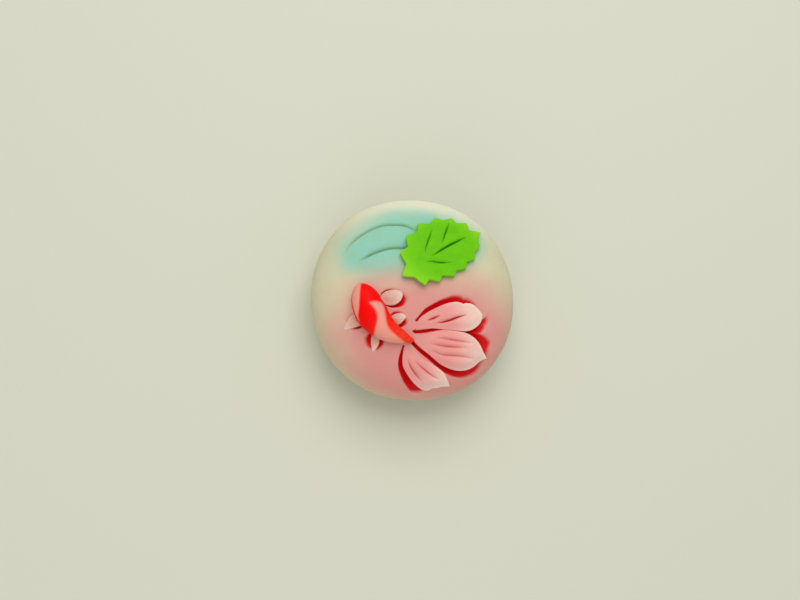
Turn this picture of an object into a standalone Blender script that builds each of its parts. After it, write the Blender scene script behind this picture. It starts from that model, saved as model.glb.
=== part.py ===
"""A namagashi: a flattened ball of bean-paste dough with a goldfish's tail and fins carved
into its top, a marbled goldfish body laid on the carving, and a serrated leaf beside it.
The cuts go through the skin to a red layer. Metres, +Z up, origin under the middle."""

import math

import bmesh
import bpy
import numpy as np
from mathutils import Vector

MM = 0.001
GAP = 0.3 * MM  # clearance between two pieces that touch

# The dough is a flattened ball, widest at its waist, that stands on a flat foot.
DOUGH_RADIUS = 25 * MM
DOUGH_HEIGHT = 22 * MM
WAIST_HEIGHT = 9.5 * MM
TOP_ROUNDNESS = 2.6  # superellipse exponents, where 2 is an ellipse
SIDE_ROUNDNESS = 2.4
UNDERSIDE_DEPTH = 11.5 * MM  # from the waist to the pole that the foot cuts off
FACES_ACROSS = 19  # on each side of the cube that the ball starts from

# The red layer lies under a thin skin, below the tail and the fins.
SKIN = 0.8 * MM
LAYER_MIDDLE = (1.0, -10.6)  # plan place, in millimetres
LAYER_RADII = (18.3, 12.6)
LAYER_THICKNESS = 3.2 * MM
LAYER_RIM = 0.9 * MM  # its thickness at the edge
LAYER_RINGS = 6
LAYER_SPOKES = 40

# Cuts: each follows a plan edge, in millimetres, and lies on the right of it or, with
# side = -1, on the left. Widths and depths are spread evenly along the edge.
STATION_PITCH = 1.3  # millimetres between the sections of a cut
CUTTER_RISE = 1.4 * MM  # how far a cutter stands above the dough
WALL_SHARE = 0.1  # where a cut's steep wall ends, over its width
FLOOR_SHARE = 0.5  # where its slope begins
FLOOR_DEPTH = 0.85  # the depth there, over the full depth
FLARE_SHARE = 1.15  # how far its slope has gone at the cutter's upper face

# The three lobes of the tail: the two long edges of each, from the root to the tip.
UPPER_LOBE = (
    ((-0.4, -9.9), (0.3, -7.4), (4.0, -4.8), (6.3, -3.7), (9.2, -3.0), (10.8, -3.4), (12.8, -3.3),
     (14.8, -4.9), (15.6, -5.8)),
    ((-0.4, -9.9), (3.0, -9.5), (5.8, -9.55), (9.1, -9.75), (12.3, -9.6), (14.4, -8.2), (15.6, -5.8)),
)
MIDDLE_LOBE = (
    ((-0.6, -11.9), (2.0, -10.8), (5.8, -9.95), (10.1, -10.05), (13.4, -11.2), (15.6, -13.9), (17.0, -15.4)),
    ((-0.8, -12.9), (0.9, -14.2), (4.5, -16.8), (7.6, -18.4), (11.4, -18.5), (14.3, -17.0), (17.0, -15.4)),
)
LOWER_LOBE = (
    ((-1.4, -13.6), (0.8, -16.1), (4.8, -18.3), (7.0, -20.4), (8.1, -22.0)),
    ((-3.1, -13.9), (-3.4, -16.3), (-2.4, -19.6), (-0.2, -22.0), (2.1, -23.1), (4.1, -22.6), (8.1, -22.0)),
)
LOBE_RISE = 0.5 * MM  # how far a lobe swells above the dough
LOBE_SHOULDER = 1.6  # millimetres over which it swells

# The fins' cuts: name, edge, widths, depths and side, as for the tail's.
FIN_CUTS = (
    ("back_upper", ((-8.4, -1.7), (-7.3, -0.9), (-6.0, -0.6), (-4.5, -0.75), (-3.5, -1.2)),
     (0.5, 0.8, 0.8, 0.6, 0.5), (0.6, 1.2, 1.2, 0.7, -0.4), -1),
    ("back_lower", ((-7.6, -3.85), (-6.5, -4.15), (-5.4, -4.05), (-4.4, -3.4), (-3.8, -2.4), (-3.2, -1.2)),
     (0.4, 0.5, 0.9, 1.3, 1.4, 0.8), (1.0, 1.3, 1.7, 1.8, 1.4, -0.4), 1),
    ("tail_upper", ((-6.2, -6.9), (-5.2, -6.25), (-4.1, -6.15), (-3.1, -6.5)),
     (0.4, 0.6, 0.6, 0.4), (0.6, 1.2, 0.9, -0.4), -1),
    ("tail_lower", ((-5.1, -8.7), (-4.2, -8.5), (-3.5, -7.8), (-2.8, -7.0)),
     (0.5, 0.9, 1.1, 0.6), (1.2, 1.7, 1.6, -0.4), 1),
    ("belly_upper", ((-14.7, -6.0), (-15.8, -6.9), (-16.7, -8.3), (-17.1, -9.4)),
     (0.5, 1.3, 1.4, 0.8), (0.6, 1.1, 0.9, -0.4), 1),
    ("belly_lower", ((-13.0, -8.5), (-14.3, -9.1), (-15.5, -9.4), (-17.0, -9.6)),
     (0.5, 0.7, 0.6, 0.4), (1.5, 1.6, 1.2, -0.4), -1),
    ("chin_left", ((-10.7, -11.0), (-10.8, -12.3), (-10.7, -13.5), (-10.4, -14.8)),
     (0.6, 1.1, 1.0, 0.5), (1.6, 1.7, 1.2, -0.4), 1),
    ("chin_right", ((-9.0, -11.3), (-8.9, -12.4), (-9.2, -13.5), (-10.2, -14.8)),
     (0.6, 1.0, 0.9, 0.5), (1.4, 1.6, 1.2, -0.4), -1),
)

# Slits scored along the lobes, and the two ripples of the water.
LOBE_SLITS = (
    ((4.4, -8.15), (7.5, -7.45), (11.0, -6.15)),
    ((2.4, -7.6), (5.0, -6.45)),
    ((4.6, -11.5), (9.2, -12.1), (12.6, -12.4)),
    ((3.2, -13.0), (6.6, -13.5), (11.2, -13.5)),
    ((3.6, -14.65), (6.6, -15.5), (9.7, -15.5), (13.1, -15.8)),
    ((-2.1, -16.7), (-1.2, -18.7), (1.1, -21.0)),
    ((-0.4, -16.9), (1.2, -18.4), (5.3, -20.7)),
)
SLIT_WIDTH = 0.4 * MM
SLIT_DEPTH = 0.45 * MM
END_WIDTH = 0.3  # a scored line's width at its ends, over its full width
END_RISE = 0.2  # how far its cutter leaves the surface at its ends, over its depth
RIPPLES = (
    ((-17.3, 8.6), (-14.7, 12.1), (-10.5, 14.8), (-5.9, 15.8), (-1.8, 15.1), (0.6, 13.7)),
    ((-14.3, 6.35), (-10.5, 8.3), (-6.9, 9.5), (-3.4, 9.7), (-1.0, 10.0)),
)
RIPPLE_WIDTH = 1.1 * MM
RIPPLE_DEPTH = 0.5 * MM

# The goldfish body: its two long edges, from the head to the tail.
BODY_BACK = ((-13.2, 1.2), (-10.6, 0.2), (-8.4, -2.9), (-6.7, -6.0), (-4.5, -8.95), (-1.85, -11.4),
             (-0.95, -12.3))
BODY_BELLY = ((-14.1, 0.9), (-15.1, -1.0), (-15.3, -3.8), (-14.2, -7.2), (-12.1, -9.9), (-9.0, -12.0),
              (-4.6, -13.05), (-1.4, -12.85))
BODY_HEIGHT = 3.6 * MM
BODY_TALLEST = 0.36  # share of the length from the head to the tallest section
BODY_END = 0.22  # its height at the two ends, over its full height
BODY_SECTIONS = 22
BODY_ARC_STEPS = 12
BODY_TUCK = 0.5 * MM  # how far the round edge stands above the dough
BODY_FULLNESS = 0.9  # under 1 the arch is fuller than an ellipse

# The leaf: the tips of its teeth and the notches after them, round from the apex.
LEAF_TIPS = ((15.6, 14.6), (15.2, 10.9), (13.7, 7.4), (11.4, 4.8), (8.7, 2.8), (5.1, 1.4), (1.6, 0.3),
             (-3.8, 2.5), (-4.3, 8.3), (-2.8, 12.4), (0.1, 15.9), (4.2, 17.6), (8.4, 17.8), (12.2, 16.9))
LEAF_NOTCHES = ((14.5, 12.7), (13.6, 9.1), (11.6, 6.5), (9.0, 4.2), (5.7, 2.9), (2.6, 1.8), (-1.0, 2.3),
                (-2.8, 5.5), (-2.4, 9.7), (-0.1, 13.6), (2.95, 15.8), (6.2, 17.0), (9.55, 16.6), (12.6, 14.9))
LEAF_MIDDLE = (6.0, 9.4)
LEAF_RINGS = (1.0, 0.9, 0.72, 0.5, 0.25)  # each ring's size over the outline's
LEAF_THICKNESS = 1.6 * MM
LEAF_EDGE = 1.1 * MM
LEAF_WAVE = 0.25 * MM
LEAF_WAVES = 5
LEAF_LIFT_RADIUS = 19 * MM  # past this distance from the middle the leaf runs straight out
LEAF_VEINS = (
    ((2.9, 7.4), (7.6, 10.5), (12.0, 13.0)),
    ((1.6, 7.9), (2.5, 11.6), (3.6, 14.7)),
    ((5.7, 10.5), (6.8, 14.0), (7.9, 16.8)),
    ((1.6, 6.0), (5.2, 6.0), (8.2, 6.2)),
)
VEIN_WIDTH = 0.55 * MM
VEIN_DEPTH = 0.5 * MM


def clear_scene():
    for old in list(bpy.data.objects):
        bpy.data.objects.remove(old, do_unlink=True)


def outline_scale(angle):
    """The dough's radius at this angle over its mean: a little square, as pressed by hand."""
    return 1 + 0.007 * np.cos(4 * angle - math.pi) + 0.006 * np.cos(2 * angle - 1.5 * math.pi)


def dome_height(x, y):
    """Height of the uncarved dough above a plan place."""
    reach = np.hypot(x, y) / (DOUGH_RADIUS * outline_scale(np.arctan2(y, x)))
    rise = np.maximum(1 - reach**TOP_ROUNDNESS, 0) ** (1 / TOP_ROUNDNESS)
    return WAIST_HEIGHT + (DOUGH_HEIGHT - WAIST_HEIGHT) * rise


def dome_normal(x, y):
    step = 0.05 * MM
    slope_x = (dome_height(x + step, y) - dome_height(x - step, y)) / (2 * step)
    slope_y = (dome_height(x, y + step) - dome_height(x, y - step)) / (2 * step)
    return Vector((-slope_x, -slope_y, 1)).normalized()


def off_dome(x, y, height):
    """The point at this height off the uncarved surface, along its normal there."""
    return Vector((x, y, dome_height(x, y))) + dome_normal(x, y) * height


def smooth_curve(points, steps):
    """Steps + 1 plan points, evenly spaced along a Catmull-Rom curve through these."""
    given = np.array(points, float) * MM
    padded = np.vstack([2 * given[0] - given[1], given, 2 * given[-1] - given[-2]])
    dense = []
    for a, b, c, d in zip(padded, padded[1:], padded[2:], padded[3:]):
        for t in np.linspace(0, 1, 16, endpoint=False):
            dense.append(0.5 * (2 * b + (c - a) * t + (2 * a - 5 * b + 4 * c - d) * t**2
                                + (3 * b - a - 3 * c + d) * t**3))
    dense = np.array(dense + [given[-1]])
    along = np.concatenate([[0], np.cumsum(np.hypot(*np.diff(dense, axis=0).T))])
    at = np.linspace(0, along[-1], steps + 1)
    return np.column_stack([np.interp(at, along, dense[:, 0]), np.interp(at, along, dense[:, 1])])


def curve_length(points):
    return np.hypot(*np.diff(np.array(points, float), axis=0).T).sum()


def spread(values, count):
    """These values, evenly spaced, read at count places from the first to the last."""
    return np.interp(np.linspace(0, 1, count), np.linspace(0, 1, len(values)), values)


def side_of(curve):
    """Unit plan vectors to the right of a curve, at each of its points."""
    run = np.gradient(curve, axis=0)
    run /= np.hypot(*run.T)[:, None]
    return np.column_stack([run[:, 1], -run[:, 0]])


def outline_depth(x, y, outline):
    """How far plan places lie inside a closed outline, less than 0 outside it."""
    nearest = np.full(len(x), np.inf)
    inside = np.zeros(len(x), bool)
    for (ax, ay), (bx, by) in zip(outline, np.roll(outline, -1, axis=0)):
        length = max((bx - ax) ** 2 + (by - ay) ** 2, 1e-12)
        t = np.clip(((x - ax) * (bx - ax) + (y - ay) * (by - ay)) / length, 0, 1)
        nearest = np.minimum(nearest, np.hypot(x - ax - t * (bx - ax), y - ay - t * (by - ay)))
        crosses = (ay > y) != (by > y)
        inside ^= crosses & (x < ax + (bx - ax) * (y - ay) / (by - ay if by != ay else 1))
    return np.where(inside, nearest, -nearest)


def finished(name, points, faces, material):
    """A mesh object from points in metres, with its faces pointing out."""
    mesh = bpy.data.meshes.new(name)
    mesh.from_pydata([tuple(p) for p in points], [], faces)
    shape = bmesh.new()
    shape.from_mesh(mesh)
    bmesh.ops.recalc_face_normals(shape, faces=shape.faces)
    shape.to_mesh(mesh)
    shape.free()
    made = bpy.data.objects.new(name, mesh)
    bpy.context.scene.collection.objects.link(made)
    if material:
        mesh.materials.append(material)
        mesh.shade_smooth()
        mesh.set_sharp_from_angle(angle=math.radians(35))
    return made


def loft(name, sections, material=None):
    """A solid through closed sections that have the same number of points."""
    size = len(sections[0])
    points = [p for section in sections for p in section]
    faces = [tuple(range(size)), tuple(range(len(points) - size, len(points)))]
    for first in range(0, len(points) - size, size):
        for i in range(size):
            j = (i + 1) % size
            faces.append((first + i, first + j, first + size + j, first + size + i))
    return finished(name, points, faces, material)


def principled(name, colour, roughness):
    made = bpy.data.materials.new(name)
    made.use_nodes = True
    shader = made.node_tree.nodes["Principled BSDF"]
    shader.inputs["Base Color"].default_value = (*colour, 1)
    shader.inputs["Roughness"].default_value = roughness
    shader.inputs["Metallic"].default_value = 0
    return made


def sheet(name, rings_above, middle_above, rings_below, middle_below, material=None):
    """A thin solid: rings of points round a middle point, above and below, split alike."""
    size = len(rings_above[0])
    points = [p for ring in rings_above for p in ring] + [middle_above]
    half = len(points)
    points += [p for ring in rings_below for p in ring] + [middle_below]
    faces = []
    for start in (0, half):
        for ring in range(len(rings_above) - 1):
            for i in range(size):
                a = start + ring * size + i
                b = start + ring * size + (i + 1) % size
                faces += [(a, b, b + size), (a, b + size, a + size)]
        last = start + (len(rings_above) - 1) * size
        middle = start + half - 1
        faces += [(last + i, last + (i + 1) % size, middle) for i in range(size)]
    for i in range(size):
        j = (i + 1) % size
        faces += [(i, j, half + j), (i, half + j, half + i)]
    return finished(name, points, faces, material)


def dough_ball(material):
    """The uncarved ball: a finely divided cube, rounded, flattened and stood on its foot."""
    shape = bmesh.new()
    bmesh.ops.create_cube(shape, size=2)
    bmesh.ops.subdivide_edges(shape, edges=shape.edges, cuts=FACES_ACROSS - 1, use_grid_fill=True)
    for vert in shape.verts:
        way = Vector([math.tan(c * math.pi / 4) for c in vert.co]).normalized()
        radius = DOUGH_RADIUS * outline_scale(math.atan2(way.y, way.x))
        power = TOP_ROUNDNESS if way.z > 0 else SIDE_ROUNDNESS
        half = DOUGH_HEIGHT - WAIST_HEIGHT if way.z > 0 else UNDERSIDE_DEPTH
        across = math.hypot(way.x, way.y) / radius
        reach = (across**power + (abs(way.z) / half) ** power) ** (-1 / power)
        vert.co = way * reach + Vector((0, 0, WAIST_HEIGHT))
    everything = shape.verts[:] + shape.edges[:] + shape.faces[:]
    bmesh.ops.bisect_plane(shape, geom=everything, plane_co=(0, 0, 0), plane_no=(0, 0, -1), clear_outer=True)
    foot_edges = [edge for edge in shape.edges if edge.is_boundary]
    bmesh.ops.contextual_create(shape, geom=foot_edges)
    raise_lobes(shape)
    mesh = bpy.data.meshes.new("dough")
    shape.to_mesh(mesh)
    shape.free()
    mesh.materials.append(material)
    mesh.shade_smooth()
    mesh.set_sharp_from_angle(angle=math.radians(35))
    made = bpy.data.objects.new("dough", mesh)
    bpy.context.scene.collection.objects.link(made)
    return made


def raise_lobes(shape):
    """Swells the dough inside each lobe's outline."""
    top = [vert for vert in shape.verts if vert.co.z > WAIST_HEIGHT]
    x = np.array([vert.co.x for vert in top])
    y = np.array([vert.co.y for vert in top])
    for lobe in (UPPER_LOBE, MIDDLE_LOBE, LOWER_LOBE):
        there = smooth_curve(lobe[0], 24)
        back = smooth_curve(lobe[1], 24)[::-1]
        inside = outline_depth(x, y, np.vstack([there, back]))
        share = np.clip(inside / (LOBE_SHOULDER * MM), 0, 1)
        for vert, part in zip(top, share * (2 - share)):
            vert.co += dome_normal(vert.co.x, vert.co.y) * LOBE_RISE * part


def layer(name, grown, material=None):
    """The red layer, following the dome, or, grown by the gap, the hollow it lies in."""
    middle = [c * MM for c in LAYER_MIDDLE]
    radii = [c * MM + grown for c in LAYER_RADII]

    def place(share, angle, depth):
        x = middle[0] + share * radii[0] * math.cos(angle)
        y = middle[1] + share * radii[1] * math.sin(angle)
        return off_dome(x, y, -depth)

    above, below = [], []
    for ring in range(LAYER_RINGS):
        share = 1 - ring / LAYER_RINGS
        thick = LAYER_RIM + (LAYER_THICKNESS - LAYER_RIM) * math.sqrt(1 - share**2)
        angles = [2 * math.pi * i / LAYER_SPOKES for i in range(LAYER_SPOKES)]
        above.append([place(share, angle, SKIN + GAP - grown) for angle in angles])
        below.append([place(share, angle, SKIN + GAP + thick + grown) for angle in angles])
    return sheet(
        name,
        above,
        place(0, 0, SKIN + GAP - grown),
        below,
        place(0, 0, SKIN + GAP + LAYER_THICKNESS + grown),
        material,
    )


def cutter_kind(name):
    """A collection for cutters of one kind, left out of the finished part."""
    kind = bpy.data.collections.new(name)
    kind.hide_render = True
    bpy.context.scene.collection.children.link(kind)
    return kind


def cutter_of(made, kind):
    """Moves a helper object to a collection of cutters."""
    made.hide_render = True
    made.display_type = "WIRE"
    kind.objects.link(made)
    bpy.context.scene.collection.objects.unlink(made)
    return made


def groove(name, edge, widths, depths, side, kind, base=off_dome):
    """A cutter with a steep wall along the edge, a hollow floor and a slope up outwards."""
    steps = max(4, round(curve_length(edge) / STATION_PITCH))
    inner = smooth_curve(edge, steps)
    out = side_of(inner) * side
    sections = []
    for (x, y), (ox, oy), width, depth in zip(
        inner, out, spread(widths, steps + 1) * MM, spread(depths, steps + 1) * MM
    ):
        def at(share, height):
            return base(x + ox * width * share, y + oy * width * share, height)

        sections.append(
            [
                at(0, CUTTER_RISE),
                at(WALL_SHARE, -depth),
                at(FLOOR_SHARE, -FLOOR_DEPTH * depth),
                at(1, 0),
                at(FLARE_SHARE, CUTTER_RISE),
            ]
        )
    return cutter_of(loft(name, sections), kind)


def slit(name, line, width, depth, kind, base=off_dome):
    """A cutter with a V section that narrows and comes out of the surface at both ends."""
    steps = max(4, round(curve_length(line) / STATION_PITCH))
    middle = smooth_curve(line, steps)
    out = side_of(middle)
    sections = []
    for i, ((x, y), (ox, oy)) in enumerate(zip(middle, out)):
        full = math.sqrt(math.sin(math.pi * i / steps))
        narrowed = width * (END_WIDTH + (1 - END_WIDTH) * full)
        reach = narrowed / 2 * (1 + CUTTER_RISE / depth)
        bottom = depth * ((1 + END_RISE) * full - END_RISE)
        sections.append(
            [
                base(x - ox * reach, y - oy * reach, CUTTER_RISE),
                base(x, y, -bottom),
                base(x + ox * reach, y + oy * reach, CUTTER_RISE),
            ]
        )
    return cutter_of(loft(name, sections), kind)


def carve_dough(kind):
    """The cuts round the tail's lobes and the fins, the slits on the lobes and the ripples."""
    (upper_top, upper_low), (middle_top, middle_low), (lower_right, lower_left) = (
        UPPER_LOBE,
        MIDDLE_LOBE,
        LOWER_LOBE,
    )
    grooves = (
        ("upper_top", upper_top[:-1], (0.5, 1.3, 1.5, 1.7, 1.2), (0.9, 2.1, 2.2, 1.8, -0.4), -1),
        ("upper_low", upper_low, (0.3, 0.3, 0.2, 1.2, 1.9, 1.2), (1.3, 1.2, 0.5, 2.0, 2.2, -0.4), 1),
        ("middle_top", middle_top[2:], (0.2, 0.6, 1.8, 1.9, 0.7), (0.5, 1.6, 2.2, 2.1, -0.4), -1),
        ("middle_low", middle_low[:-1], (0.4, 0.5, 1.0, 1.8, 1.9, 1.4), (1.6, 1.7, 2.1, 2.3, 2.0, -0.4), 1),
        ("lower_left", lower_left[:-1], (0.5, 0.8, 1.3, 1.7, 1.3), (1.3, 2.0, 2.3, 2.1, -0.4), 1),
        ("lower_right", lower_right[2:], (0.3, 0.8, 1.2, 0.9), (1.0, 1.1, 0.6, -0.4), -1),
        ("lower_foot", lower_left[4:], (0.9, 1.0, 0.8, 0.6), (0.7, 0.8, 0.6, -0.4), 1),
    )
    for name, edge, widths, depths, side in grooves:
        groove("groove_" + name, edge, widths, depths, side, kind)
    for name, edge, widths, depths, side in FIN_CUTS:
        groove("fin_" + name, edge, widths, depths, side, kind)
    for number, line in enumerate(LOBE_SLITS):
        slit(f"slit_{number}", line, SLIT_WIDTH, SLIT_DEPTH + LOBE_RISE, kind)
    for number, line in enumerate(RIPPLES):
        slit(f"ripple_{number}", line, RIPPLE_WIDTH, RIPPLE_DEPTH, kind)


def subtract(made, **cutters):
    """Takes away one object (object=) or all in a collection (collection=)."""
    cut = made.modifiers.new("Cut", "BOOLEAN")
    cut.operation = "DIFFERENCE"
    cut.solver = "EXACT"
    cut.operand_type = "OBJECT" if "object" in cutters else "COLLECTION"
    for kind, cutter in cutters.items():
        setattr(cut, kind, cutter)


def goldfish_body(material):
    """Sections across the body, each an arch that follows the dough on its underside."""
    back = smooth_curve(BODY_BACK, BODY_SECTIONS)
    belly = smooth_curve(BODY_BELLY, BODY_SECTIONS)
    sections = []
    for i in range(BODY_SECTIONS + 1):
        along = i / BODY_SECTIONS
        if along < BODY_TALLEST:
            full = math.sqrt(1 - (1 - along / BODY_TALLEST) ** 2)
        else:
            full = math.cos(0.5 * math.pi * (along - BODY_TALLEST) / (1 - BODY_TALLEST))
        height = BODY_HEIGHT * (BODY_END + (1 - BODY_END) * full)
        section = []
        for step in range(BODY_ARC_STEPS + 1):
            turn = math.pi * step / BODY_ARC_STEPS
            x, y = (back[i] + belly[i]) / 2 + (back[i] - belly[i]) / 2 * math.cos(turn)
            arch = BODY_TUCK + (height - BODY_TUCK) * math.sin(turn) ** BODY_FULLNESS
            section.append(off_dome(x, y, GAP + arch))
        for step in range(BODY_ARC_STEPS - 1, 0, -1):
            turn = math.pi * step / BODY_ARC_STEPS
            x, y = (back[i] + belly[i]) / 2 + (back[i] - belly[i]) / 2 * math.cos(turn)
            section.append(off_dome(x, y, GAP))
        sections.append(section)
    return loft("goldfish_body", sections, material)


def leaf_rest(x, y):
    """Height of the leaf's underside: on the dome, then straight out past its shoulder."""
    away = math.hypot(x, y)
    if away <= LEAF_LIFT_RADIUS:
        return dome_height(x, y) + GAP
    way = np.array((x, y)) / away
    shoulder = dome_height(*way * LEAF_LIFT_RADIUS)
    slope = (shoulder - dome_height(*way * (LEAF_LIFT_RADIUS - MM))) / MM
    return shoulder + slope * (away - LEAF_LIFT_RADIUS) + GAP


def leaf(material):
    """The serrated leaf: rings of its outline, wavy at the edge, thinner at the teeth."""
    outline = [c for pair in zip(LEAF_TIPS, LEAF_NOTCHES) for c in pair]
    middle = np.array(LEAF_MIDDLE) * MM
    above, below = [], []
    for share in LEAF_RINGS:
        top, under = [], []
        for i, corner in enumerate(outline):
            for halfway in (0, 0.5):
                after = outline[(i + 1) % len(outline)]
                reach = (np.array(corner) * (1 - halfway) + np.array(after) * halfway) * MM - middle
                x, y = middle + reach * share
                turn = 2 * math.pi * LEAF_WAVES * (i + halfway) / len(outline)
                wave = LEAF_WAVE * (1 + math.sin(turn)) * share**3
                thick = LEAF_THICKNESS + (LEAF_EDGE - LEAF_THICKNESS) * share**4
                under.append(Vector((x, y, leaf_rest(x, y) + wave)))
                top.append(Vector((x, y, leaf_rest(x, y) + wave + thick)))
        above.append(top)
        below.append(under)
    centre = Vector((*middle, leaf_rest(*middle)))
    return sheet("leaf", above, centre + Vector((0, 0, LEAF_THICKNESS)), below, centre, material)


def leaf_top(x, y, height):
    return Vector((x, y, leaf_rest(x, y) + LEAF_THICKNESS + height))


def main():
    clear_scene()
    dough_paste = principled("dough_paste", (0.66, 0.40, 0.31), 0.62)
    red_paste = principled("red_paste", (0.45, 0.008, 0.010), 0.55)
    marbled_paste = principled("marbled_paste", (0.83, 0.035, 0.015), 0.5)
    leaf_paste = principled("leaf_paste", (0.15, 0.52, 0.010), 0.55)

    carving = cutter_kind("carving")
    carve_dough(carving)
    hollow = cutter_of(layer("layer_hollow", GAP), cutter_kind("hollows"))
    dough = dough_ball(dough_paste)
    subtract(dough, object=hollow)
    subtract(dough, collection=carving)
    subtract(layer("red_layer", 0, red_paste), collection=carving)

    goldfish_body(marbled_paste)
    veins = cutter_kind("veins")
    for number, line in enumerate(LEAF_VEINS):
        slit(f"vein_{number}", line, VEIN_WIDTH, VEIN_DEPTH, veins, leaf_top)
    subtract(leaf(leaf_paste), collection=veins)


main()
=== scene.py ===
import math

import bpy
import numpy as np
from mathutils import Matrix, Vector, noise


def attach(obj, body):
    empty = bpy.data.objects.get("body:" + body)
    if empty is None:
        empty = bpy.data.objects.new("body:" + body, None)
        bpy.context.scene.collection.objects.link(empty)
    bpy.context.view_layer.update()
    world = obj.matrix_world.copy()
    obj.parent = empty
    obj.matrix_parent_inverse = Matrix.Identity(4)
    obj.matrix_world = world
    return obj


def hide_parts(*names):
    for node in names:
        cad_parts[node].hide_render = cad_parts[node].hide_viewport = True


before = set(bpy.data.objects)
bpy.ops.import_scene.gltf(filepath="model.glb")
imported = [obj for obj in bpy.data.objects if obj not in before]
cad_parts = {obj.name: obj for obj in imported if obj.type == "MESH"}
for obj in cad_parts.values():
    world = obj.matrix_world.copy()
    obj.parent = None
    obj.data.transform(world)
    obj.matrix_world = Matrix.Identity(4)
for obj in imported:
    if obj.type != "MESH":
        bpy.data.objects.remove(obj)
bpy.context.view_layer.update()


# The camera looks down from the eater's side, about 14 degrees off straight down and a little
# to the left, through a 50 mm lens on a 36 mm sensor. The far side of the sweet is at the top.
LENS = 50
SENSOR = 36
CAMERA_LEAN = (-0.09, -0.22)  # how far it stands off the upright, over its distance
CAMERA_DISTANCE = 0.2708
LOOKED_AT = Vector((-0.0031, -0.0003, 0.0102))

behind = Vector((*CAMERA_LEAN, math.sqrt(1 - CAMERA_LEAN[0] ** 2 - CAMERA_LEAN[1] ** 2)))
rightwards = Vector((0, 1, 0)).cross(behind).normalized()
upwards = behind.cross(rightwards)
camera_data = bpy.data.cameras.new("camera")
camera_data.lens = LENS
camera_data.sensor_width = SENSOR
camera_data.clip_start = 0.01
camera = bpy.data.objects.new("camera", camera_data)
bpy.context.scene.collection.objects.link(camera)
camera.matrix_world = Matrix.Translation(LOOKED_AT + behind * CAMERA_DISTANCE) @ Matrix(
    (rightwards, upwards, behind)
).transposed().to_4x4()
bpy.context.scene.camera = camera
bpy.context.scene.view_settings.view_transform = "Standard"


# The floor is a plain pale surface, warm and a little green, that runs on past the view.
# A broad lamp beyond the sweet lights it, with a weak one on the near side and soft light all round.
def srgb(red, green, blue):
    """A colour given as 0 to 255 on a screen, in linear light."""
    return tuple(
        c / 12.92 if c <= 0.04045 else ((c + 0.055) / 1.055) ** 2.4
        for c in (red / 255, green / 255, blue / 255)
    )


FLOOR_WIDTH = 3.0
FLOOR_COLOUR = srgb(213, 215, 200)
SKY_COLOUR = srgb(255, 253, 246)
SKY_STRENGTH = 0.52

bpy.ops.object.select_all(action="DESELECT")
bpy.ops.mesh.primitive_plane_add(size=FLOOR_WIDTH)
floor = bpy.context.object
floor.name = "floor"
floor_finish = bpy.data.materials.new("floor_finish")
floor_finish.use_nodes = True
floor_shader = floor_finish.node_tree.nodes["Principled BSDF"]
floor_shader.inputs["Base Color"].default_value = (*FLOOR_COLOUR, 1)
floor_shader.inputs["Roughness"].default_value = 0.7
floor_shader.inputs["Specular IOR Level"].default_value = 0.2
floor.data.materials.append(floor_finish)

sky = bpy.data.worlds.new("soft_light")
sky.use_nodes = True
sky.node_tree.nodes["Background"].inputs["Color"].default_value = (*SKY_COLOUR, 1)
sky.node_tree.nodes["Background"].inputs["Strength"].default_value = SKY_STRENGTH
bpy.context.scene.world = sky


def soft_lamp(name, place, width, power, colour):
    """A square lamp of this width that faces the sweet."""
    data = bpy.data.lights.new(name, "AREA")
    data.size = width
    data.energy = power
    data.color = colour
    lamp = bpy.data.objects.new(name, data)
    bpy.context.scene.collection.objects.link(lamp)
    lamp.location = place
    lamp.rotation_euler = Vector(place).to_track_quat("Z", "Y").to_euler()


soft_lamp("far_lamp", (0.03, 0.26, 0.50), 0.46, 1.7, (1.0, 0.99, 0.96))
soft_lamp("near_lamp", (-0.10, -0.42, 0.34), 0.40, 0.55, (1.0, 1.0, 1.0))


# The dough is one pressed ball of cream bean paste, with an aqua patch and a pink patch worked
# into it. The tail and the fins are its own skin: a blade is pushed in along their edges and
# the paste outside is scooped away. Lengths on its plan are in millimetres.
MM = 0.001
DOUGH_RADIUS = 25
DOUGH_HEIGHT = 22
WAIST_HEIGHT = 9.5
TOP_ROUNDNESS = 2.6
SIDE_ROUNDNESS = 2.4
UNDERSIDE_DEPTH = 11.5
FACES_ACROSS = 24
SKIN = 0.6  # thickness of the pale paste over the red
WALL = 0.2  # how far out a lobe's steep edge leans
FOOT_ROUNDING = 0.7
EXTRA_DEPTH = 0.4  # how much deeper the dough is cut than the red layer, over the depth below the skin
EXTRA_DEPTH_END = 0.6  # depth below the skin where that stops growing
SQUARENESS = 0.007  # how far the outline strays from a circle, over its radius
OVALNESS = 0.006


def outline_scale(angle):
    """The dough's radius at this angle over its mean: a little square, as pressed by hand."""
    corners = SQUARENESS * np.cos(4 * angle - math.pi)
    return 1 + corners + OVALNESS * np.cos(2 * angle - 1.5 * math.pi)


def dome_height(x, y):
    """Height of the uncarved dough, in millimetres."""
    reach = np.hypot(x, y) / (DOUGH_RADIUS * outline_scale(np.arctan2(y, x)))
    rise = np.maximum(1 - reach**TOP_ROUNDNESS, 0) ** (1 / TOP_ROUNDNESS)
    return WAIST_HEIGHT + (DOUGH_HEIGHT - WAIST_HEIGHT) * rise


def moulded(places):
    """Places on a cube of width 2, rounded out to the dough's form in millimetres."""
    way = np.tan(places * math.pi / 4)
    way /= np.linalg.norm(way, axis=1)[:, None]
    upper = way[:, 2] > 0
    power = np.where(upper, TOP_ROUNDNESS, SIDE_ROUNDNESS)
    half = np.where(upper, DOUGH_HEIGHT - WAIST_HEIGHT, UNDERSIDE_DEPTH)
    radius = DOUGH_RADIUS * outline_scale(np.arctan2(way[:, 1], way[:, 0]))
    across = np.hypot(way[:, 0], way[:, 1]) / radius
    reach = (across**power + (np.abs(way[:, 2]) / half) ** power) ** (-1 / power)
    return way * reach[:, None] + (0, 0, WAIST_HEIGHT)


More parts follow.
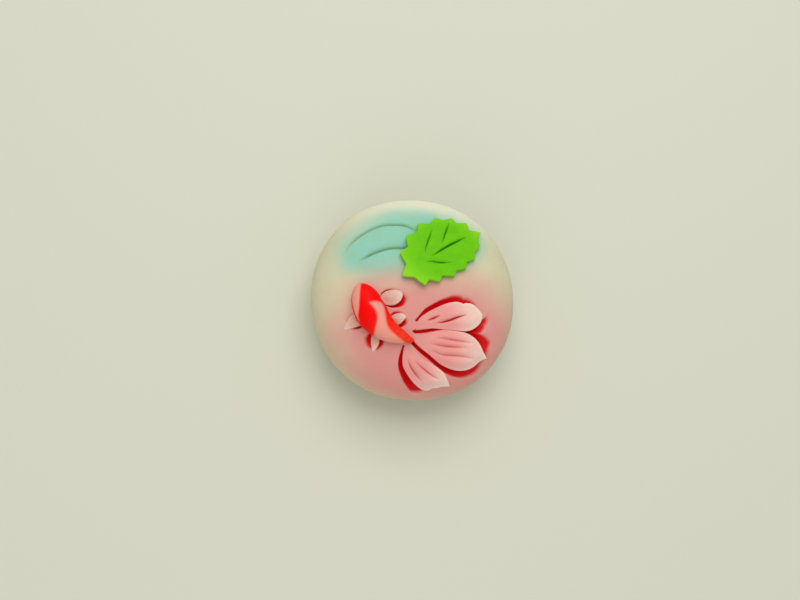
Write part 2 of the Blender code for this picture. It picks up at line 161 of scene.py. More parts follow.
def outward(places):
    """Unit normals of the uncarved dough at places on its upper half."""
    away = np.maximum(np.hypot(places[:, 0], places[:, 1]), 1e-6)
    rise = np.maximum(places[:, 2] - WAIST_HEIGHT, 0) / (DOUGH_HEIGHT - WAIST_HEIGHT)
    flat = (away / DOUGH_RADIUS) ** (TOP_ROUNDNESS - 1) / DOUGH_RADIUS / away
    steep = rise ** (TOP_ROUNDNESS - 1) / (DOUGH_HEIGHT - WAIST_HEIGHT)
    normal = np.column_stack([places[:, 0] * flat, places[:, 1] * flat, steep])
    return normal / np.linalg.norm(normal, axis=1)[:, None]


def curve_through(corners, pitch=0.12):
    """Points every pitch along a smooth curve through these corners."""
    given = np.array(corners, float)
    padded = np.vstack([2 * given[0] - given[1], given, 2 * given[-1] - given[-2]])
    dense = []
    for a, b, c, d in zip(padded, padded[1:], padded[2:], padded[3:]):
        t = np.linspace(0, 1, 24, endpoint=False)[:, None]
        dense.append(
            0.5 * (2 * b + (c - a) * t + (2 * a - 5 * b + 4 * c - d) * t**2 + (3 * b - a - 3 * c + d) * t**3)
        )
    dense = np.vstack([*dense, given[-1:]])
    along = np.concatenate([[0], np.cumsum(np.hypot(*np.diff(dense, axis=0).T))])
    at = np.linspace(0, along[-1], max(4, round(along[-1] / pitch)))
    return np.column_stack([np.interp(at, along, dense[:, 0]), np.interp(at, along, dense[:, 1])])


FAR = 99.0  # stands for any distance over the reach
COMPARED_AT_ONCE = 2000000  # pairs of a place and a curve point


def against(curve, places, reach):
    """For each place: the share along the curve and the distance to its right, or FAR where
    that is over the reach."""
    along = np.zeros(len(places))
    across = np.full(len(places), FAR)
    low, high = curve.min(axis=0) - reach, curve.max(axis=0) + reach
    chosen = np.flatnonzero(((places > low) & (places < high)).all(axis=1))
    last = len(curve) - 2
    for part in np.array_split(chosen, len(chosen) * len(curve) // COMPARED_AT_ONCE + 1):
        nearest = ((places[part][:, None] - curve[None]) ** 2).sum(axis=2).argmin(axis=1)
        closest = np.full(len(part), np.inf)
        for begin in (np.maximum(nearest - 1, 0), np.minimum(nearest, last)):
            run = curve[begin + 1] - curve[begin]
            offset = places[part] - curve[begin]
            share = (offset * run).sum(axis=1) / (run * run).sum(axis=1)
            away = np.hypot(*(offset - run * np.clip(share, 0, 1)[:, None]).T)
            better = away < closest
            closest = np.where(better, away, closest)
            side = offset[:, 0] * run[:, 1] - offset[:, 1] * run[:, 0]
            done = part[better]
            across[done] = np.copysign(away, side)[better]
            along[done] = ((begin + np.clip(share, 0, 1)) / (last + 1))[better]
    return along, across


def depth_inside(outline, places, reach=3.0):
    """How far places lie inside a closed outline: less than 0 outside, -FAR far away."""
    across = np.abs(against(np.vstack([outline, outline[:1]]), places, reach)[1])
    chosen = np.flatnonzero(across < FAR)
    x, y = places[chosen].T
    inside = np.zeros(len(chosen), bool)
    for (ax, ay), (bx, by) in zip(outline, np.roll(outline, -1, axis=0)):
        if ay != by:
            inside ^= ((ay > y) != (by > y)) & (x < ax + (bx - ax) * (y - ay) / (by - ay))
    depth = np.full(len(places), -FAR)
    depth[chosen] = np.where(inside, across[chosen], -across[chosen])
    return depth


def eased(low, high, value):
    """0 below low, 1 above high and a smooth rise between."""
    share = np.clip((value - low) / (high - low), 0, 1)
    return share * share * (3 - 2 * share)


def spread(values, share):
    """These values, evenly spaced along a curve, read at a share of its length."""
    return np.interp(share, np.linspace(0, 1, len(values)), values)


# Each lobe of the tail: its two long edges, from the root to the tip.
UPPER_LOBE = (
    ((-0.4, -9.6), (0.3, -7.4), (2.3, -5.75), (4.0, -4.8), (6.3, -3.7), (8.0, -3.2), (9.2, -3.05),
     (10.3, -3.25), (10.8, -3.45), (11.5, -3.25), (12.8, -3.4), (13.9, -4.1), (14.8, -5.0), (15.4, -5.75)),
    ((-0.4, -9.9), (0.5, -9.8), (1.9, -9.6), (3.8, -9.4), (5.8, -9.55), (8.1, -9.65), (10.1, -9.8),
     (11.5, -9.8), (13.0, -9.35), (14.4, -8.25), (15.1, -7.15), (15.4, -5.75)),
)
MIDDLE_LOBE = (
    ((-0.7, -12.0), (-0.3, -11.5), (0.8, -11.2), (2.0, -10.9), (3.9, -10.3), (5.8, -9.9), (8.1, -9.9),
     (10.1, -10.05), (11.5, -10.3), (13.4, -11.2), (14.8, -12.6), (15.7, -14.1), (16.7, -15.4)),
    ((-0.7, -12.6), (-0.4, -13.0), (0.9, -14.1), (2.9, -15.55), (4.5, -16.8), (5.8, -17.7), (7.6, -18.4),
     (9.5, -18.75), (11.4, -18.55), (13.0, -17.9), (14.2, -17.0), (15.1, -16.2), (16.7, -15.4)),
)
LOWER_LOBE = (
    ((-1.6, -13.3), (-1.3, -13.75), (-0.6, -14.75), (0.8, -16.1), (2.6, -17.2), (4.8, -18.35), (6.4, -19.5),
     (7.1, -20.5), (8.0, -22.0)),
    ((-3.1, -13.9), (-3.4, -16.3), (-3.2, -18.2), (-2.3, -19.8), (-0.8, -21.5), (0.8, -22.6), (2.1, -23.05),
     (3.2, -22.9), (3.9, -22.55), (5.1, -22.45), (6.1, -22.2), (8.0, -22.0)),
)
# Each fin: its closed outline. The goldfish body covers the side that it grows from.
BACK_FIN = ((-9.0, -2.9), (-8.4, -1.7), (-7.5, -0.95), (-6.0, -0.6), (-4.9, -0.65), (-4.0, -1.0),
            (-3.6, -1.6), (-3.8, -2.5), (-4.4, -3.4), (-5.5, -4.05), (-6.6, -4.15), (-7.7, -3.9))
TAIL_FIN = ((-6.6, -7.6), (-5.9, -6.6), (-5.0, -6.2), (-4.0, -6.15), (-3.2, -6.5), (-2.8, -6.9),
            (-3.2, -7.5), (-3.7, -8.1), (-4.3, -8.6), (-5.4, -8.8))
BELLY_FIN = ((-13.4, -6.6), (-14.8, -6.1), (-16.0, -7.2), (-17.0, -9.5), (-15.7, -9.4), (-14.3, -9.1),
             (-12.6, -8.4))
CHIN_FIN = ((-10.6, -10.8), (-10.8, -12.2), (-10.7, -13.5), (-10.3, -14.8), (-9.7, -14.3),
            (-9.1, -13.3), (-8.9, -12.4), (-9.0, -10.8))

# A lobe is kept as two smooth edges and how far its tip lifts, and a fin as a smooth outline, its
# root, its length and how far its tip lifts.
lobes = [
    (curve_through(there), curve_through(back), lift)
    for (there, back), lift in ((UPPER_LOBE, 0.55), (MIDDLE_LOBE, 0.6), (LOWER_LOBE, 0.55))
]
fins = [
    (curve_through(BACK_FIN + BACK_FIN[:1])[:-1], (-8.6, -2.9), 5.2, 0.35),
    (curve_through(TAIL_FIN + TAIL_FIN[:1])[:-1], (-6.4, -7.8), 3.8, 0.3),
    (curve_through(BELLY_FIN + BELLY_FIN[:1])[:-1], (-13.0, -7.4), 5.0, 0.3),
    (curve_through(CHIN_FIN + CHIN_FIN[:1])[:-1], (-10.0, -10.6), 4.4, 0.3),
]

# The scooped cuts: the edge each follows, its widths, depths and how square its outer wall is,
# spread along it, and the side it lies on, 1 for the right.
CUTS = (
    (((-0.1, -7.7),) + UPPER_LOBE[0][1:-1], (0.5, 1.1, 1.3, 1.5, 2.3, 2.0, 0.8),
     (0.9, 1.3, 1.4, 1.4, 1.3, 0.75, 0.0), (3, 3, 3, 1.6, 0.8, 0.7, 0.7), -1),
    (UPPER_LOBE[1][:-2] + ((15.05, -7.4), (15.5, -7.0)),
     (0.9, 1.0, 0.8, 0.25, 0.15, 0.4, 1.4, 2.4, 2.2), (1.1, 1.1, 1.0, 0.7, 0.4, 0.9, 1.6, 1.7, 1.05),
     (4, 4, 3, 2, 2, 2, 1.2, 0.9, 0.8), 1),
    (MIDDLE_LOBE[0][4:], (0.2, 0.2, 0.3, 0.7, 2.0, 4.0, 2.6), (0.3, 0.4, 0.6, 1.2, 1.8, 1.6, 0.4),
     (2, 2, 2, 1.4, 1.0, 0.8, 0.7), -1),
    (MIDDLE_LOBE[1], (0.9, 1.1, 1.1, 1.5, 2.1, 2.3, 1.4), (1.2, 1.3, 1.3, 1.5, 1.6, 1.3, 0.2),
     (4, 4, 3, 2.4, 1.4, 0.9, 0.7), 1),
    (LOWER_LOBE[1][:7], (0.5, 0.9, 1.3, 1.8, 2.1, 1.0), (1.0, 1.5, 1.7, 1.7, 1.6, 0.3),
     (4, 4, 3, 2.6, 2, 1), 1),
    (((-8.6, -2.0), (-8.2, -1.4), (-7.2, -0.8), (-5.9, -0.6), (-4.6, -0.7), (-3.8, -1.1)),
     (0.3, 0.5, 0.6, 0.6, 0.6), (0.6, 0.75, 0.6, 0.3, 0.0), (2, 2, 1, 1, 1), -1),
    (((-7.9, -3.8), (-6.6, -4.15), (-5.5, -4.05), (-4.4, -3.4), (-3.8, -2.5), (-3.6, -1.6), (-3.5, -0.9)),
     (0.3, 0.5, 0.9, 1.6, 1.8, 1.3), (0.8, 1.2, 1.5, 1.5, 0.9, 0.0), (2, 1.6, 1.2, 0.9, 0.8, 0.8), 1),
    (((-6.3, -7.2), (-5.9, -6.6), (-5.0, -6.2), (-4.0, -6.15), (-3.2, -6.5)),
     (0.4, 0.7, 0.7, 0.5), (0.4, 0.85, 0.6, 0.0), (2, 2, 1.2, 1), -1),
    (((-5.4, -8.8), (-4.3, -8.6), (-3.7, -8.1), (-3.2, -7.5), (-2.8, -6.9)),
     (0.6, 1.0, 1.4, 1.1), (1.3, 1.5, 1.2, 0.0), (2, 1.4, 0.9, 0.8), 1),
    (((-13.8, -6.0), (-14.8, -6.1), (-16.0, -7.2), (-16.9, -9.1)),
     (0.6, 1.5, 1.8, 1.0), (0.2, 0.34, 0.3, 0.0), (1, 1, 1, 1), 1),
    (((-12.6, -8.4), (-14.3, -9.1), (-15.7, -9.4), (-17.0, -9.5)),
     (0.7, 0.8, 0.6, 0.4), (1.3, 1.2, 0.4, 0.0), (2, 1.5, 1, 1), -1),
    (((-10.6, -10.8), (-10.8, -12.2), (-10.7, -13.5), (-10.3, -14.8)),
     (1.0, 2.0, 1.8, 0.8), (1.3, 1.35, 0.8, 0.0), (1, 0.8, 0.8, 0.8), 1),
    (((-9.0, -10.8), (-8.9, -12.4), (-9.1, -13.3), (-9.7, -14.3), (-10.3, -14.8)),
     (0.9, 1.3, 1.3, 0.9, 0.5), (1.4, 1.5, 1.2, 0.7, 0.0), (1.5, 1.2, 1, 1, 1), -1),
)
cuts = [(curve_through(edge), *rest) for edge, *rest in CUTS]

# Slits scored along the lobes: each one's line, its depth and half its width.
SLITS = (
    (((4.4, -8.15), (5.8, -7.95), (7.5, -7.45), (9.5, -6.65), (11.4, -6.05)), 0.75, 0.34),
    (((2.3, -7.6), (3.7, -7.1), (5.1, -6.4)), 0.6, 0.34),
    (((4.2, -11.5), (6.8, -11.8), (9.2, -12.1), (12.9, -12.4)), 0.36, 0.3),
    (((3.0, -13.0), (6.6, -13.5), (8.8, -13.6), (11.6, -13.5)), 0.38, 0.3),
    (((3.4, -14.6), (5.0, -15.2), (6.6, -15.5), (9.7, -15.5), (13.5, -15.8)), 0.36, 0.3),
    (((-2.2, -16.6), (-1.8, -17.6), (-1.1, -18.8), (0.1, -20.2), (1.3, -21.2)), 0.46, 0.3),
    (((-0.5, -16.8), (0.4, -17.8), (1.3, -18.5), (3.1, -19.7), (5.5, -20.8)), 0.42, 0.3),
)
slits = [(curve_through(line), *rest) for line, *rest in SLITS]

# The two ripples of the water are pressed with a blade held aslant.
RIPPLES = (
    (((-17.4, 8.5), (-16.3, 10.4), (-14.7, 12.1), (-12.7, 13.6), (-10.5, 14.8), (-8.1, 15.6), (-5.9, 15.8),
      (-3.6, 15.7), (-1.8, 15.1), (1.2, 13.1)), 2.1, 0.75),
    (((-14.4, 6.3), (-12.6, 7.2), (-10.5, 8.3), (-8.7, 9.0), (-6.9, 9.5), (-5.1, 9.7), (-3.4, 9.7),
      (0.0, 10.2)), 2.0, 0.75),
)
ripples = [(curve_through(line), width, depth) for line, width, depth in RIPPLES]


def pick_faces(piece, chosen):
    """Selects these faces alone and enters edit mode."""
    bpy.context.tool_settings.mesh_select_mode = (False, False, True)
    piece.data.vertices.foreach_set("select", np.zeros(len(piece.data.vertices), bool))
    piece.data.edges.foreach_set("select", np.zeros(len(piece.data.edges), bool))
    piece.data.polygons.foreach_set("select", chosen)
    bpy.ops.object.mode_set(mode="EDIT")


def numbers(collection, name, width):
    """One property of every item of a mesh's collection, as an array."""
    values = np.empty(len(collection) * width)
    collection.foreach_get(name, values)
    return values.reshape(-1, width) if width > 1 else values


def line_distance(places, lines):
    """Each place's distance from the nearest of these lines."""
    nearest = np.full(len(places), FAR)
    for line in lines:
        nearest = np.minimum(nearest, np.abs(against(line, places, 5.0)[1]))
    return nearest


cut_lines = [edge for edge, *_ in cuts] + [edge for there, back, _ in lobes for edge in (there, back)]
slit_lines = [line for line, *_ in slits]
ripple_lines = [line for line, *_ in ripples]

bpy.ops.object.select_all(action="DESELECT")
bpy.ops.mesh.primitive_cube_add(size=2)
dough = bpy.context.object
dough.name = dough.data.name = "dough_paste"
pick_faces(dough, np.ones(len(dough.data.polygons), bool))
bpy.ops.mesh.subdivide(number_cuts=FACES_ACROSS - 1)
bpy.ops.object.mode_set(mode="OBJECT")

CROWN = 0.55  # how much a lobe or fin swells from its edge towards its middle
CROWN_REACH = 2.0  # how far in from the edge it still swells
EDGE_DROP = 0.1  # how much its very edge is rounded down
EDGE_WIDTH = 0.3
FIN_PALENESS = 0.55  # how pale a fin's tip is, over a lobe's
CUT_REACH = 4.0  # the widest cut
HOLLOW_DEPTH = 0.4  # the soft hollow on both sides of a slit
HOLLOW_REACH = 0.9
CREASE_DEPTH = 0.12  # the fine line at the foot of a ripple
CREASE_WIDTH = 0.3


def carved(places):
    """What the carving does at plan places: the height it adds, the depth that it cuts below
    the skin's top, how far a place is on a lobe or fin, on a fin, near its tip, and in a ripple's painted
    shade."""
    cover = np.zeros(len(places))
    petal = np.zeros(len(places))
    lift = np.zeros(len(places))
    tip = np.zeros(len(places))
    fin = np.zeros(len(places))
    shapes = [
        (np.vstack([there, back[-2::-1]]), (there[0] + back[0]) / 2, np.hypot(*(there[-1] - there[0])), rise)
        for there, back, rise in lobes
    ]
    for number, (outline, root, length, rise) in enumerate(shapes + fins):
        inside = depth_inside(outline, places)
        share = np.hypot(*(places - root).T) / length
        on = eased(-WALL, 0.02, inside)
        crown = CROWN * eased(0, CROWN_REACH, inside) - EDGE_DROP * (1 - eased(0, EDGE_WIDTH, inside))
        raised = rise * eased(0.25, 1.0, share) + crown * eased(0.05, 0.35, share)
        # Tips are painted paler: partly the paste's own pale tips, partly painted light for thin raised tips
        # that catch the light.
        pale = eased(0.45, 1.05, share + 0.12 * (1 - eased(0, 0.7, inside)))
        lift = np.maximum(lift, np.where(on > 0, raised * on, 0))
        cover = np.maximum(cover, on)
        petal = np.maximum(petal, on * eased(-0.05, 0.3, share))
        is_fin = number >= len(shapes)
        tip = np.maximum(tip, pale * on * (FIN_PALENESS if is_fin else 1.0))
        fin = np.maximum(fin, on * is_fin)
    pit = np.zeros(len(places))
    for edge, widths, depths, squareness, side in cuts:
        along, across = against(edge, places, CUT_REACH)
        out = across * side
        shape = 1 - np.clip(out / spread(widths, along), 0, 1) ** spread(squareness, along)
        shape *= eased(-0.3, -0.05, out)
        pit = np.maximum(pit, np.where(np.abs(across) < FAR, spread(depths, along) * shape, 0))
    pit *= 1 - cover
    trough = np.zeros(len(places))
    for line, depth, half_width in slits:
        along, across = against(line, places, 1.5)
        full = np.sqrt(np.clip(np.sin(math.pi * along), 0, 1))
        narrow = np.clip(1 - np.abs(across) / (half_width * full + 0.02), 0, 1)
        pit = np.maximum(pit, narrow * full * depth)
        trough = np.maximum(trough, HOLLOW_DEPTH * full * (1 - eased(0, HOLLOW_REACH, np.abs(across))))
    water = np.zeros(len(places))
    for line, width, depth in ripples:
        along, across = against(line, places, 3.0)
        full = np.clip(np.sin(math.pi * along) * 1.6, 0, 1)
        slope = np.clip(1 + across / width, 0, 1) ** 1.6
        crease = CREASE_DEPTH * np.clip(1 - np.abs(across + 0.1) / CREASE_WIDTH, 0, 1)
        bent = full * (depth * slope * (1 - eased(0.0, 0.3, across)) + crease)
        trough = np.maximum(trough, bent)
        # Painted shade: the band on the ripple's slope just above its foot, which the material paints
        # darker.
        water = np.maximum(water, full * eased(-1.2, -0.1, across) * (1 - eased(-0.1, 0.2, across)))
    return lift - trough, pit, petal, fin, tip, water


PALM_MARKS = 0.16  # height and fineness of the marks that a palm leaves, and fingers
PALM_FINENESS = 0.09
FINGER_MARKS = 0.04
FINGER_FINENESS = 0.33
MARKS_SUNK = 0.13


def hand_pressed(places):
    """The small hollows and swells that hands leave, in millimetres, nearly all inwards."""
    palm = np.array([noise.noise(Vector(p) * PALM_FINENESS) for p in places])
    fingers = np.array([noise.noise(Vector(p) * FINGER_FINENESS) for p in places])
    return PALM_MARKS * palm + FINGER_MARKS * fingers - MARKS_SUNK


def write_values(piece, **values):
    """Keeps these values on the mesh's points, for its material."""
    for name, value in values.items():
        made = piece.data.attributes.new(name, "FLOAT", "POINT")
        made.data.foreach_set("value", value.astype(np.float32))


# The mesh is divided again near the carving, each time in a narrower band, and last where
# the cuts reach the red.
BANDS = (4.0, 3.0, 2.4)
EDGE_BAND = 0.4
RED_EDGE_BAND = 0.3  # in depth, round the skin's thickness
all_lines = cut_lines + slit_lines + ripple_lines
for band in BANDS:
    centres = moulded(numbers(dough.data.polygons, "center", 3))
    near = (line_distance(centres[:, :2], all_lines) < band) & (centres[:, 2] > WAIST_HEIGHT)
    pick_faces(dough, near)
    bpy.ops.mesh.subdivide(number_cuts=1)
    bpy.ops.object.mode_set(mode="OBJECT")
centres = moulded(numbers(dough.data.polygons, "center", 3))
near = line_distance(centres[:, :2], cut_lines + slit_lines) < EDGE_BAND
near |= np.abs(carved(centres[:, :2])[1] - SKIN) < RED_EDGE_BAND
pick_faces(dough, near & (centres[:, 2] > WAIST_HEIGHT))
bpy.ops.mesh.subdivide(number_cuts=1)
bpy.ops.object.mode_set(mode="OBJECT")


round_places = moulded(numbers(dough.data.vertices, "co", 3))
dough.data.vertices.foreach_set("co", (round_places * MM).ravel())
dough.data.update()
pick_faces(dough, np.ones(len(dough.data.polygons), bool))
bpy.ops.mesh.bisect(plane_co=(0, 0, 0), plane_no=(0, 0, -1), use_fill=True, clear_outer=True)
bpy.ops.object.mode_set(mode="OBJECT")
pick_faces(dough, numbers(dough.data.polygons, "center", 3)[:, 2] < 0.01 * MM)
bpy.ops.mesh.bevel(offset=FOOT_ROUNDING * MM, segments=4)
bpy.ops.object.mode_set(mode="OBJECT")

places = numbers(dough.data.vertices, "co", 3) / MM
top = places[:, 2] > WAIST_HEIGHT
lift, cut, petal, fin, tip, water = np.zeros((6, len(places)))
lift[top], cut[top], petal[top], fin[top], tip[top], water[top] = carved(places[top, :2])
lift += hand_pressed(places) * eased(0, 6, places[:, 2])
normals = outward(places)
deeper = EXTRA_DEPTH * np.clip(cut - SKIN, 0, EXTRA_DEPTH_END)
carving = lift - cut - deeper
shaped = places + normals * carving[:, None]
shaped[:, 2] = np.maximum(shaped[:, 2], 0)
dough.data.vertices.foreach_set("co", (shaped * MM).ravel())
write_values(dough, cut=cut, petal=petal, fin=fin, tip=tip, water=water)
dough.data.update()
dough.data.shade_smooth()


def place_node(tree, kind, *values, **settings):
    """Adds a shader node. Its inputs take the values in turn, or are joined where one is a socket."""
    made = tree.nodes.new("ShaderNode" + kind)
    for name, value in settings.items():
        setattr(made, name, value)
    sockets = [s for s in made.inputs if s.enabled]
    for socket, value in zip(sockets, values):
        if isinstance(value, bpy.types.NodeSocket):
            tree.links.new(value, socket)
        elif value is not None:
            socket.default_value = value
    return made


def new_group(name, inputs, outputs):
    """An empty shader group with these named inputs and outputs, and its two end nodes."""
    group = bpy.data.node_groups.new(name, "ShaderNodeTree")
    for label, (kind, value) in inputs.items():
        group.interface.new_socket(label, in_out="INPUT", socket_type=kind).default_value = value
    for label in outputs:
        group.interface.new_socket(label, in_out="OUTPUT", socket_type="NodeSocketFloat")
    return group, group.nodes.new("NodeGroupInput"), group.nodes.new("NodeGroupOutput")


# A patch of one colour worked into another: an ellipse on the plan with a soft, uneven edge.
patch, given, result = new_group(
    "worked_in_patch",
    {"Centre": ("NodeSocketVector", (0, 0, 0)), "Radii": ("NodeSocketVector", (1, 1, 1)),
     "Turn": ("NodeSocketVector", (0, 0, 0)), "Softness": ("NodeSocketFloat", 0.3),
     "Unevenness": ("NodeSocketFloat", 0.2)},
    ["Mask"],
)
where = place_node(patch, "TexCoord").outputs["Object"]
local = place_node(patch, "Mapping", where, given.outputs["Centre"], given.outputs["Turn"],
                   given.outputs["Radii"], vector_type="TEXTURE").outputs[0]
reach = place_node(patch, "VectorMath", local, operation="LENGTH").outputs["Value"]
cloud = place_node(patch, "TexNoise", where, 110.0, 2.0).outputs["Fac"]
stray = place_node(patch, "Math", cloud, 0.5, operation="SUBTRACT").outputs[0]
uneven = given.outputs["Unevenness"]
stray = place_node(patch, "Math", stray, uneven, reach, operation="MULTIPLY_ADD").outputs[0]
nearest = place_node(patch, "Math", 1.0, given.outputs["Softness"], operation="SUBTRACT").outputs[0]
farthest = place_node(patch, "Math", 1.0, given.outputs["Softness"], operation="ADD").outputs[0]
mask = place_node(patch, "MapRange", stray, nearest, farthest, 1.0, 0.0, interpolation_type="SMOOTHSTEP")
patch.links.new(mask.outputs[0], result.inputs["Mask"])

# Bean paste is smooth with a fine grain, and a little mottled.
grain, given, result = new_group(
    "paste_grain", {"Grain Scale": ("NodeSocketFloat", 5000.0), "Mottle Scale": ("NodeSocketFloat", 350.0)},
    ["Height", "Mottle"],
)
where = place_node(grain, "TexCoord").outputs["Object"]
fine = place_node(grain, "TexNoise", where, given.outputs["Grain Scale"], 3.0, 0.6).outputs["Fac"]
mottle = place_node(grain, "TexNoise", where, given.outputs["Mottle Scale"], 3.0, 0.55).outputs["Fac"]
height = place_node(grain, "Math", mottle, 2.0, fine, operation="MULTIPLY_ADD").outputs[0]
grain.links.new(height, result.inputs["Height"])
grain.links.new(mottle, result.inputs["Mottle"])


def group_node(tree, group, **inputs):
    """Places a group in a material with its own values."""
    made = tree.nodes.new("ShaderNodeGroup")
    made.node_tree = group
    for name, value in inputs.items():
        made.inputs[name].default_value = value
    return made


def mixed(tree, share, below, above):
    """A colour that goes from one to the other with this share."""
    node = tree.nodes.new("ShaderNodeMix")
    node.data_type = "RGBA"
    for socket, value in ((node.inputs[0], share), (node.inputs[6], below), (node.inputs[7], above)):
        if isinstance(value, bpy.types.NodeSocket):
            tree.links.new(value, socket)
        else:
            socket.default_value = (*value, 1) if isinstance(value, tuple) else value
    return node.outputs[2]


def remapped(tree, value, low, high, to_low, to_high):
    """A value eased from one range to another."""
    return place_node(tree, "MapRange", value, low, high, to_low, to_high,
                      interpolation_type="SMOOTHSTEP").outputs[0]


def kept_value(tree, name):
    """A value that the mesh keeps on its points."""
    return place_node(tree, "Attribute", attribute_name=name).outputs["Fac"]


def paste_material(name, roughness, grain_height):
    """A satin bean paste whose colour is still to be joined. Light goes a little way into it."""
    made = bpy.data.materials.new(name)
    made.use_nodes = True
    tree = made.node_tree
    shader = tree.nodes["Principled BSDF"]
    shader.inputs["Specular IOR Level"].default_value = 0.14
    shader.inputs["Subsurface Weight"].default_value = 0.12
    shader.inputs["Subsurface Radius"].default_value = (1.0, 0.5, 0.35)
    shader.inputs["Subsurface Scale"].default_value = 0.0006
    texture = group_node(tree, grain)
    bump = tree.nodes.new("ShaderNodeBump")
    bump.inputs["Strength"].default_value = 0.5
    bump.inputs["Distance"].default_value = grain_height
    tree.links.new(texture.outputs["Height"], bump.inputs["Height"])
    tree.links.new(bump.outputs[0], shader.inputs["Normal"])
    rough = remapped(tree, texture.outputs["Mottle"], 0.35, 0.65, roughness - 0.06, roughness + 0.06)
    tree.links.new(rough, shader.inputs["Roughness"])
    return made, tree, shader, texture.outputs["Mottle"]


CREAM = srgb(216, 211, 180)
CREAM_LOW = srgb(210, 203, 170)
CREAM_PAINTED_LIGHT = srgb(232, 231, 208)
AQUA = srgb(146, 203, 176)
AQUA_PAINTED_SHADE = srgb(126, 166, 132)
AQUA_BLUE = srgb(146, 205, 188)
PINK = srgb(220, 149, 143)
PETAL_PALE = srgb(224, 196, 176)
PETAL_PINK = srgb(233, 155, 150)
PETAL_TIP_AND_PAINTED_LIGHT = srgb(243, 218, 206)
FIN_BEIGE = srgb(219, 177, 160)
BLUSH = srgb(208, 12, 18)
PINK_END = 0.002  # height where the pink has faded out, in metres, and where it is whole
PINK_WHOLE = 0.008

dough_finish, tree, shader, mottle = paste_material("dough_paste", 0.5, 0.0001)
aqua_band = group_node(tree, patch, Centre=(-0.0032, 0.0121, 0.021), Radii=(0.0200, 0.0097, 0.0155),
                       Turn=(0, 0, 0.04), Softness=0.28, Unevenness=0.3)
within_rim = group_node(tree, patch, Centre=(0.0002, -0.0003, 0.02), Radii=(0.0214, 0.0214, 1.0),
                        Softness=0.21, Unevenness=0.12)
aqua_share = place_node(tree, "Math", aqua_band.outputs[0], within_rim.outputs[0], operation="MULTIPLY")
# Painted light: the far rim, which faces the broad lamp, is painted a paler, whiter cream.
far_rim_painted_light = group_node(tree, patch, Centre=(0.004, 0.027, 0.02), Radii=(0.028, 0.013, 0.018),
                      Softness=0.5, Unevenness=0.1)
pink_patch = group_node(tree, patch, Centre=(0.0030, -0.0126, 0.02), Radii=(0.0229, 0.0166, 0.0172),
                        Softness=0.4, Unevenness=0.3)
place = place_node(tree, "TexCoord").outputs["Object"]
level = place_node(tree, "SeparateXYZ", place).outputs["Z"]
above_foot = remapped(tree, level, PINK_END, PINK_WHOLE, 0, 1)
pink_share = place_node(tree, "Math", pink_patch.outputs[0], above_foot, operation="MULTIPLY")
colour = mixed(tree, mottle, CREAM, CREAM_LOW)
colour = mixed(tree, far_rim_painted_light.outputs[0], colour, CREAM_PAINTED_LIGHT)
aqua = mixed(tree, remapped(tree, mottle, 0.35, 0.65, 0, 1), AQUA, AQUA_BLUE)
# Painted shade: the aqua goes to a grey green on each ripple's slope above its foot, where shade falls.
aqua = mixed(tree, remapped(tree, kept_value(tree, "water"), 0.0, 1.0, 0, 0.8), aqua, AQUA_PAINTED_SHADE)
colour = mixed(tree, aqua_share.outputs[0], colour, aqua)
colour = mixed(tree, pink_share.outputs[0], colour, PINK)
petal_colour = mixed(tree, pink_patch.outputs[0], PETAL_PALE, PETAL_PINK)
colour = mixed(tree, kept_value(tree, "petal"), colour, petal_colour)
colour = mixed(tree, kept_value(tree, "fin"), colour, FIN_BEIGE)
# The tips' pale colour is partly the paste's own and partly painted light.
colour = mixed(tree, kept_value(tree, "tip"), colour, PETAL_TIP_AND_PAINTED_LIGHT)
colour = mixed(tree, remapped(tree, kept_value(tree, "cut"), 0.1, SKIN, 0, 1), colour, BLUSH)
tree.links.new(colour, shader.inputs["Base Color"])
dough.data.materials.append(dough_finish)
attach(dough, "root")
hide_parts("dough")


# The red layer is a lens of dark red bean paste under the pale skin. The carving lays it bare,
# so it has the same cuts as the dough, and shows wherever they go deeper than the skin.
LAYER_MIDDLE = np.array([1.0, -10.6])
LAYER_RADII = np.array([18.9, 13.2])
LAYER_THICKNESS = 3.2
LAYER_RIM = 0.9
LAYER_RINGS = 7
LAYER_SIDES = 96
CLEAR_ABOVE = 30  # height of the trimming shape's top, well above the sweet

red = bpy.data.objects.new("red_paste", dough.data.copy())
red.data.name = "red_paste"
bpy.context.scene.collection.objects.link(red)
bare = lift - np.maximum(cut, SKIN)
shaped = places + normals * bare[:, None]
shaped[:, 2] = np.maximum(shaped[:, 2], 0)
red.data.vertices.foreach_set("co", (shaped * MM).ravel())
red.data.update()

bpy.ops.object.select_all(action="DESELECT")
bpy.ops.mesh.primitive_cylinder_add(vertices=LAYER_SIDES, radius=1, depth=2)
lens = bpy.context.object
pick_faces(lens, numbers(lens.data.polygons, "normal", 3)[:, 2] < -0.9)
for ring in range(LAYER_RINGS):
    bpy.ops.mesh.inset(thickness=1 / (LAYER_RINGS + 1))
bpy.ops.mesh.merge(type="CENTER")
bpy.ops.object.mode_set(mode="OBJECT")
sides = numbers(lens.data.vertices, "co", 3)
plan = LAYER_MIDDLE + sides[:, :2] * LAYER_RADII
under = np.column_stack([plan, dome_height(*plan.T)])
from_middle = np.clip(np.hypot(*sides[:, :2].T), 0, 1)
depth = SKIN + LAYER_RIM + (LAYER_THICKNESS - LAYER_RIM) * np.sqrt(1 - from_middle**2)
under -= outward(under) * depth[:, None]
above = np.column_stack([plan, np.full(len(plan), CLEAR_ABOVE)])
shape = np.where(sides[:, 2:] < 0, under, above)
lens.data.vertices.foreach_set("co", (shape * MM).ravel())
lens.data.update()

bpy.context.view_layer.objects.active = red
trim = red.modifiers.new("trim", "BOOLEAN")
trim.operation = "INTERSECT"
trim.solver = "MANIFOLD"
trim.object = lens
bpy.ops.object.modifier_apply(modifier="trim")
bpy.data.objects.remove(lens)
red.data.shade_smooth()

